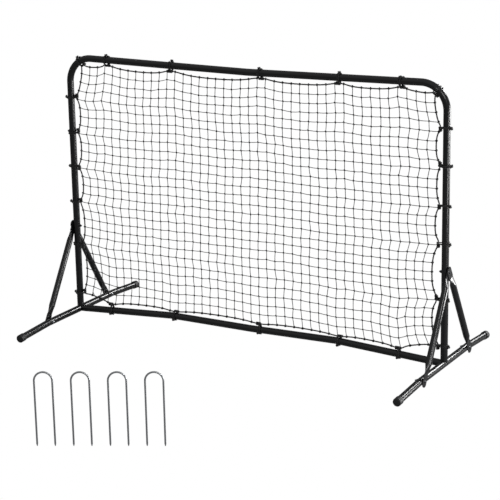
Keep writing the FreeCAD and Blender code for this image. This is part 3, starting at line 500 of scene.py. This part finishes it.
tubes, ropes, directions = find_stations()
rope_curve = spline_points(bowed_route(ropes), True)
rope_line, rope_places, rope_length = even_points(rope_curve, RING_STEP, True)
turns = round(rope_length / ROPE_LAY)

# The section of three equal strands that touch each other: each strand's circle over its third of the
# way round, turned with the lay.
strand = ROPE_RADIUS / (1 + 2 / math.sqrt(3))
off_axis = ROPE_RADIUS - strand
ROPE_SIDES = 18
around = np.arange(ROPE_SIDES) / ROPE_SIDES * 2 * math.pi
within = (around + math.pi / 3) % (2 * math.pi / 3) - math.pi / 3
lobes = off_axis * np.cos(within) + np.sqrt(strand ** 2 - (off_axis * np.sin(within)) ** 2)
twist = rope_places / rope_length * turns * 2 * math.pi
angles = around + twist[:, None]
rope_profile = np.stack([lobes * np.cos(angles), lobes * np.sin(angles)], axis=-1)
rope_rings = carry_profile(rope_line, np.array([0, 1.0, 0]), rope_profile, closed=True)

# Polypropylene rope: black multifilament, matt, with yarns that show as fine ridges on each strand.
rope_black, tree, shader = new_material("black_polypropylene_rope", {
    "Roughness": 0.72, "Sheen Weight": 0.15, "Sheen Roughness": 0.5,
})
fibres = place_pattern(tree, "ShaderNodeTexNoise", 0.0011)
tree.links.new(mix_colours(tree, fibres.outputs[0], "#101011", "#222224"), shader.inputs["Base Color"])
raise_surface(tree, shader, cord_pattern(tree, 21, 0.006, False), 0.00008)
border = make_piece("border_rope_laid", [skin(rope_rings, rope_places, closed=True)], rope_black)
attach(border, "root")
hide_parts("border_rope")


# ------------------------------------------------------------------ ties
# Lengths of 4.8 mm braided elastic cord. Each goes twice round the tube and the rope, twice more round
# the rope alone, and is knotted on the tube, mostly on the side away from the net, with two short ends.
CORD_RADIUS = 0.0024
CORD_TO_TUBE = 0.0003
TUBE_TURN = TUBE_RADIUS + CORD_RADIUS + CORD_TO_TUBE
ROPE_TURN = ROPE_RADIUS + CORD_RADIUS
ROPE_WRAPS = 2.25
KNOT_SIZE = 0.0018
# Of each tie: width of its turns, their slant, angle of the knot round the tube, length of its ends, in
# millimetres and degrees.
TIE_LOOKS = [
    (12, 6, 20, 8), (13, 8, 10, 12), (16, -3, -15, 9), (12, 2, 20, 8), (12, -4, 5, 8), (15, 3, 35, 7),
    (21, 4, 80, 3), (10, 3, 10, 6), (12, -4, -20, 6), (10, 5, 15, 9), (20, 6, 10, 12), (10, -5, 25, 7),
    (14, 3, 10, 13), (12, 3, 60, 5), (12, -3, 50, 5), (13, 4, 65, 6), (12, -2, 55, 5), (13, 3, 60, 6),
    (11, 4, 10, 7), (12, -4, -15, 8), (10, 5, 20, 7), (10, -3, 10, 8), (15, 8, -10, 9), (11, 3, 15, 7),
]


def belt(gap):
    """A belt's line round the tube and the rope, as points across the net and through it: an arc of
    the tube's circle, an arc of the rope's circle and the two straights that touch both, from the
    side away from the net and back to it."""
    touch = math.acos((TUBE_TURN - ROPE_TURN) / gap)
    tube_turns = np.linspace(math.pi, 2 * math.pi - touch, 16)
    rope_turns = np.linspace(-touch, touch, 12)
    back_turns = np.linspace(touch, math.pi, 16)
    return np.concatenate([
        TUBE_TURN * np.stack([np.cos(tube_turns), np.sin(tube_turns)], -1),
        np.array([gap, 0]) + ROPE_TURN * np.stack([np.cos(rope_turns), np.sin(rope_turns)], -1),
        TUBE_TURN * np.stack([np.cos(back_turns), np.sin(back_turns)], -1),
    ])


def tie_skins(tube, rope, along, look):
    """The skins of one tie. The two turns are the belt with a steady shift along the tube, less near
    the rope, plus a slant that grows through the net. The turns on the rope are a helix, and the knot
    is a trefoil: sin t + 2 sin 2t, cos t - 2 cos 2t and -sin 3t. The two ends leave it sideways along
    the tube, each rising from it and drooping by a share of the square of the way."""
    width, slant, knot_angle, end_length = look
    inwards = unit(rope - tube)
    through = np.cross(along, inwards)
    gap = np.linalg.norm(rope - tube)
    loop = belt(gap)
    path = np.vstack([loop, loop[1:]])
    share = np.linspace(-1, 1, len(path))
    near_rope = np.clip(path[:, 0] / gap, 0, 1)
    shift = share * width / 2000 * (1 - 0.45 * near_rope) + slant / 1000 * path[:, 1] / (2 * TUBE_TURN)
    turns_line = tube + path[:, :1] * inwards + path[:, 1:] * through + shift[:, None] * along
    turns_line, places, _ = even_points(turns_line, 0.0022)
    round_cord = ring_profile(CORD_RADIUS, 12)
    parts = [skin(carry_profile(turns_line, along, round_cord), places)]

    t = np.linspace(0, ROPE_WRAPS * 2 * math.pi, 60)
    side = 1 if slant > 0 else -1
    reach = (width / 4000 + CORD_RADIUS * 1.4 + t / t[-1] * CORD_RADIUS * 4.4) * side
    helix = (
        rope + (ROPE_TURN * np.cos(t))[:, None] * inwards + (ROPE_TURN * np.sin(t))[:, None] * through
        + reach[:, None] * along
    )
    helix, places, _ = even_points(helix, 0.0020)
    parts.append(skin(carry_profile(helix, along, round_cord), places))

    turn = math.radians(knot_angle)
    out = -math.cos(turn) * inwards - math.sin(turn) * through
    across = np.cross(out, along)
    t = np.linspace(0, 2 * math.pi, 73)[:-1]
    centre = tube + out * (TUBE_TURN + CORD_RADIUS + 0.0022)
    trefoil = centre + KNOT_SIZE * (
        (np.sin(t) + 2 * np.sin(2 * t))[:, None] * along
        + (np.cos(t) - 2 * np.cos(2 * t))[:, None] * across
        - (1.1 * np.sin(3 * t))[:, None] * out
    )
    trefoil, places, _ = even_points(trefoil, 0.0014, closed=True)
    parts.append(skin(carry_profile(trefoil, out, round_cord, closed=True), places, closed=True))

    t = np.linspace(0, 1, 12)[:, None]
    for sideways, droop in ((1, 0.25), (-1, 0.6)):
        length = end_length / 1000 * (1.15 if sideways > 0 else 0.85)
        spread = 0.002 + length * 0.75 * t
        rise = 0.001 + length * 0.8 * t * (1 - droop * t)
        curl = sideways * length * 0.3 * t ** 2
        tail = centre + across * sideways * 0.0025 + along * sideways * spread + out * rise + across * curl
        radius = CORD_RADIUS * np.where(t < 0.93, 1.0, 0.86)[..., None]
        rings = carry_profile(tail, across + along * 0.3, round_cord * radius)
        parts.append(skin(rings, t[:, 0] * length))
    return parts


# Elastic cord: black braided polyester over rubber, a diamond of yarns 2.5 mm long, a dull sheen.
tie_black, tree, shader = new_material("black_braided_elastic", {
    "Roughness": 0.66, "Sheen Weight": 0.2, "Sheen Roughness": 0.45,
})
lint = place_pattern(tree, "ShaderNodeTexNoise", 0.0010)
tree.links.new(mix_colours(tree, lint.outputs[0], "#0e0e0f", "#1d1d1f"), shader.inputs["Base Color"])
raise_surface(tree, shader, cord_pattern(tree, 8, 0.0025, True), 0.00018)

for name, first, last in (("top", 0, 7), ("right", 7, 13), ("bottom", 13, 18), ("left", 18, 24)):
    skins = []
    for station in range(first, last):
        skins += tie_skins(tubes[station], ropes[station], directions[station], TIE_LOOKS[station])
    ties = make_piece(f"{name}_knotted_ties", skins, tie_black)
    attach(ties, "root")
    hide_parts(f"{name}_ties")


# ------------------------------------------------------------------ net
# Knotted net of 3 mm twisted polyethylene twine, 42 meshes wide and 27 high, pulled nearly square. Each
# twine ends in a hitch on the border rope, so the outer rows follow the rope's bows.
COLUMNS, ROWS = 42, 27
TWINE_RADIUS = 0.0015
# Corners of the net: x, and height above the bottom bar.
TOP_LEFT, TOP_RIGHT = (-0.833, 1.130), (0.847, 1.122)
BOTTOM_LEFT, BOTTOM_RIGHT = (-0.873, 0.077), (0.872, 0.075)
NET_WIDTH, NET_HEIGHT = 1.73, 1.05
PULL_REACH = 0.150
chance = np.random.default_rng(11)


def rope_side(first, last, by, value, targets):
    """The rope's coordinate along one side of the net, clockwise from one corner to the next, where its
    other coordinate has these values."""
    ends = [np.linalg.norm(rope_line[:, (0, 2)] - corner, axis=1).argmin() for corner in (first, last)]
    line = np.roll(rope_line, -ends[0], axis=0)[:(ends[1] - ends[0]) % len(rope_line) + 1]
    order = np.argsort(line[:, by])
    return np.interp(targets, line[order, by], line[order, value])


def net_knots():
    """Places of the knots. The four corners give an even lattice, and each side's rope moves it: by
    the rope's distance from the straight line between the corners, times 0.4 of the way left to the
    far side plus 0.6 of a bell curve that dies out 150 mm in. Slow waves and a small scatter follow."""
    u = np.linspace(0, 1, COLUMNS + 1)[:, None]
    v = np.linspace(0, 1, ROWS + 1)[None, :]
    corner = [np.array(place) for place in (BOTTOM_LEFT, BOTTOM_RIGHT, TOP_LEFT, TOP_RIGHT)]
    shares = [(1 - u) * (1 - v), u * (1 - v), (1 - u) * v, u * v]
    lattice = sum(share[..., None] * place for share, place in zip(shares, corner))
    lattice[..., 1] += BAR_Z
    low_left, low_right, high_left, high_right = [place + (0, BAR_Z) for place in corner]
    top = rope_side(high_left, high_right, 0, 2, lattice[:, -1, 0]) - lattice[:, -1, 1]
    right = rope_side(high_right, low_right, 2, 0, lattice[-1, :, 1]) - lattice[-1, :, 0]
    bottom = rope_side(low_right, low_left, 0, 2, lattice[:, 0, 0]) - lattice[:, 0, 1]
    left = rope_side(low_left, high_left, 2, 0, lattice[0, :, 1]) - lattice[0, :, 0]

    def pull(share, extent):
        return 0.4 * (1 - share) + 0.6 * np.exp(-(share * extent / PULL_REACH) ** 2)

    knots = lattice.copy()
    knots[..., 1] += top[:, None] * pull(1 - v, NET_HEIGHT) + bottom[:, None] * pull(v, NET_HEIGHT)
    knots[..., 0] += left[None, :] * pull(u, NET_WIDTH) + right[None, :] * pull(1 - u, NET_WIDTH)
    inside = (np.sin(math.pi * u) * np.sin(math.pi * v)) ** 0.5
    knots[..., 0] += inside * (0.0022 * np.sin(5.1 * u + 9.0 * v) + 0.0016 * np.sin(17 * v + 3 * u + 1))
    knots[..., 1] += inside * (0.0022 * np.sin(8.3 * u + 4.0 * v + 2) + 0.0016 * np.sin(23 * u + 2 * v))
    knots[1:-1, 1:-1] += chance.normal(0, 0.0012, (COLUMNS - 1, ROWS - 1, 2))
    return np.stack([knots[..., 0], 0 * knots[..., 0], knots[..., 1]], axis=-1)


def twine_line(knots):
    """A twine's line through its knots, five points to a mesh, with a slight slack between knots."""
    places = np.arange(len(knots))
    fine = np.arange((len(knots) - 1) * 5 + 1) / 5
    line = np.stack([np.interp(fine, places, knots[:, axis]) for axis in range(3)], axis=1)
    slack = np.sin(math.pi * fine) ** 2
    line[:, 2] -= 0.0007 * slack
    line[:, 1] += 0.0010 * slack * np.sin(3.7 * np.floor(fine) + knots[0, 0] * 40 + knots[0, 2] * 60)
    return line


def sector_shares(points, west, east, south, north):
    """How far each point is in from the left, right, bottom and top of the net's free field, as a
    share of the way to its middle."""
    centre_x, centre_z = (west + east) / 2, (south + north) / 2
    x, z = points[..., 0], points[..., 2]
    return np.stack([
        (x - west) / (centre_x - west), (east - x) / (east - centre_x),
        (z - south) / (centre_z - south), (north - z) / (north - centre_z),
    ], axis=-1)


def split_line(line, field):
    """Cuts a twine where two sectors meet, exactly where their shares are equal."""
    shares = sector_shares(line, *field)
    sector = shares.argmin(axis=1)
    changes = np.flatnonzero(np.diff(sector))
    pieces, start = [], line[:1]
    begin = 0
    for change in changes:
        before, after = sector[change], sector[change + 1]
        here = shares[change, before] - shares[change, after]
        there = shares[change + 1, before] - shares[change + 1, after]
        share = np.clip(here / (here - there), 0.02, 0.98)
        cut = line[change] + (line[change + 1] - line[change]) * share
        pieces.append((before, np.vstack([start, line[begin + 1:change + 1], cut])))
        start, begin = cut[None], change
    pieces.append((sector[-1], np.vstack([start, line[begin + 1:]])))
    return pieces


def lump_skins(centres, size, twist):
    """Knots: a ball of four rings of eight points and two poles, squeezed to size along X, Y and Z. Its
    surface swells twice round it, further round on each ring, like a hitch's turns."""
    t = np.linspace(0, math.pi, 6)[1:-1, None]
    p = np.arange(8)[None, :] / 8 * 2 * math.pi
    swell = 1 + 0.16 * np.sin(2 * p + 2 * t)
    ball = np.stack([
        swell * np.sin(t) * np.cos(p), swell * np.sin(t) * np.sin(p), np.cos(t) + 0 * p,
    ], axis=-1)
    skins = []
    for centre, angle in zip(centres, twist):
        c, s = math.cos(angle), math.sin(angle)
        shaped = ball * size
        across = c * shaped[..., 0] - s * shaped[..., 2]
        upwards = s * shaped[..., 0] + c * shaped[..., 2]
        turned = np.stack([across, shaped[..., 1], upwards], axis=-1)
        vertices, quads, fans, quad_uvs, fan_uvs = skin(centre + turned, np.linspace(0, 0.006, 4))
        for pole, sign in ((-2, 1), (-1, -1)):
            tip = np.array([0, 0, sign * size[2]])
            vertices[pole] = centre + (-s * tip[2], 0, c * tip[2])
        skins.append((vertices, quads[:, ::-1], fans[:, ::-1], quad_uvs, fan_uvs))
    return skins


# The free field lies inside the rope's innermost places on the four sides, its corners left out.
knots = net_knots()
CLEAR = 0.012
rope_x, rope_z = rope_line[:, 0], rope_line[:, 2]
beside = (rope_z > BAR_Z + 0.2) & (rope_z < TOP_Z - 0.2)
over_and_under = abs(rope_x) < 0.7
field = (
    max(rope_x[beside & (rope_x < 0)]) + CLEAR,
    min(rope_x[beside & (rope_x > 0)]) - CLEAR,
    max(rope_z[over_and_under & (rope_z < BAR_Z + 0.3)]) + CLEAR,
    min(rope_z[over_and_under & (rope_z > TOP_Z - 0.3)]) - CLEAR,
)
KNOT_HALF_SIZE = np.array([0.0038, 0.0036, 0.0050])
sector_skins = [[], [], [], []]
twine_profile = ring_profile(TWINE_RADIUS, 6)
lines = [twine_line(knots[:, row]) for row in range(1, ROWS)]
lines += [twine_line(knots[column]) for column in range(1, COLUMNS)]
for line in lines:
    for sector, piece in split_line(line, field):
        rings = carry_profile(piece, np.array([0, 1.0, 0]), twine_profile)
        travelled = np.concatenate([[0], np.cumsum(np.linalg.norm(np.diff(piece, axis=0), axis=1))])
        sector_skins[sector].append(skin(rings, travelled))
inside = knots[1:-1, 1:-1].reshape(-1, 3)
owners = sector_shares(inside, *field).argmin(axis=1)
for sector in range(4):
    centres = inside[owners == sector]
    leans = math.pi / 4 + chance.normal(0, 0.35, len(centres))
    sector_skins[sector] += lump_skins(centres, KNOT_HALF_SIZE, leans)

# Polyethylene twine: black, twisted from yarns with a 5 mm lay, slightly waxy.
twine_black, tree, shader = new_material("black_polyethylene_twine", {
    "Roughness": 0.6, "Sheen Weight": 0.1, "Sheen Roughness": 0.5,
})
shade = place_pattern(tree, "ShaderNodeTexNoise", 0.010)
tree.links.new(mix_colours(tree, shade.outputs[0], "#121213", "#212123"), shader.inputs["Base Color"])
raise_surface(tree, shader, cord_pattern(tree, 3, 0.005, False), 0.00015)

middle = ((field[0] + field[1]) / 2, 0, (field[2] + field[3]) / 2)
edges = (
    ("net_left", (field[0], 0, middle[2])), ("net_right", (field[1], 0, middle[2])),
    ("net_bottom", (middle[0], 0, field[2])), ("net_top", (middle[0], 0, field[3])),
)
for (name, edge), skins in zip(edges, sector_skins):
    part = make_piece(name, skins, twine_black)
    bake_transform(part)
    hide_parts("net")


# ------------------------------------------------------------------ hitches on the border rope
# Where a twine meets the border rope it goes twice round it and is drawn tight. It is the net's own
# twine, and one loose end of it is left in the bottom left corner.
def hitch_skin(centre, rope_way, reach):
    """Two turns of twine round the rope: a helix on the rope's surface, sunk into it by a fifth of the
    twine's radius, that moves along the rope by its reach."""
    through = np.array([0, 1.0, 0])
    t = np.linspace(0, 4 * math.pi, 25)[:, None]
    side = np.cross(rope_way, through)
    line = centre + (ROPE_RADIUS + TWINE_RADIUS * 0.8) * (np.cos(t) * side + np.sin(t) * through)
    line = line + rope_way * (t / (4 * math.pi) - 0.5) * reach
    return skin(carry_profile(line, rope_way, ring_profile(TWINE_RADIUS, 6)), t[:, 0] * 0.004)


HITCH_REACH = 0.0042
ends = np.concatenate([knots[1:-1, 0], knots[1:-1, -1], knots[0, 1:-1], knots[-1, 1:-1]])
gaps = np.linalg.norm(rope_line[None] - ends[:, None], axis=2)
nearest = gaps.argmin(axis=1)
ways = unit(np.roll(rope_line, -1, axis=0) - np.roll(rope_line, 1, axis=0))
hitch_skins = [hitch_skin(rope_line[index], ways[index], HITCH_REACH) for index in nearest]

# The loose end: out of the first crossing of the corner, down beside it, and turned up at its tip.
LOOSE_END = np.array([
    (0.0, 0.0, 0.0), (-0.001, -0.004, -0.010), (-0.004, -0.005, -0.027), (0.006, -0.004, -0.043),
])
loose_end, places, _ = even_points(spline_points(knots[1, 1] + LOOSE_END, False), 0.002)
hitch_skins.append(skin(carry_profile(loose_end, np.array([0, 1.0, 0]), twine_profile), places))
hitches = make_piece("net_hitches", hitch_skins, twine_black)
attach(hitches, "root")
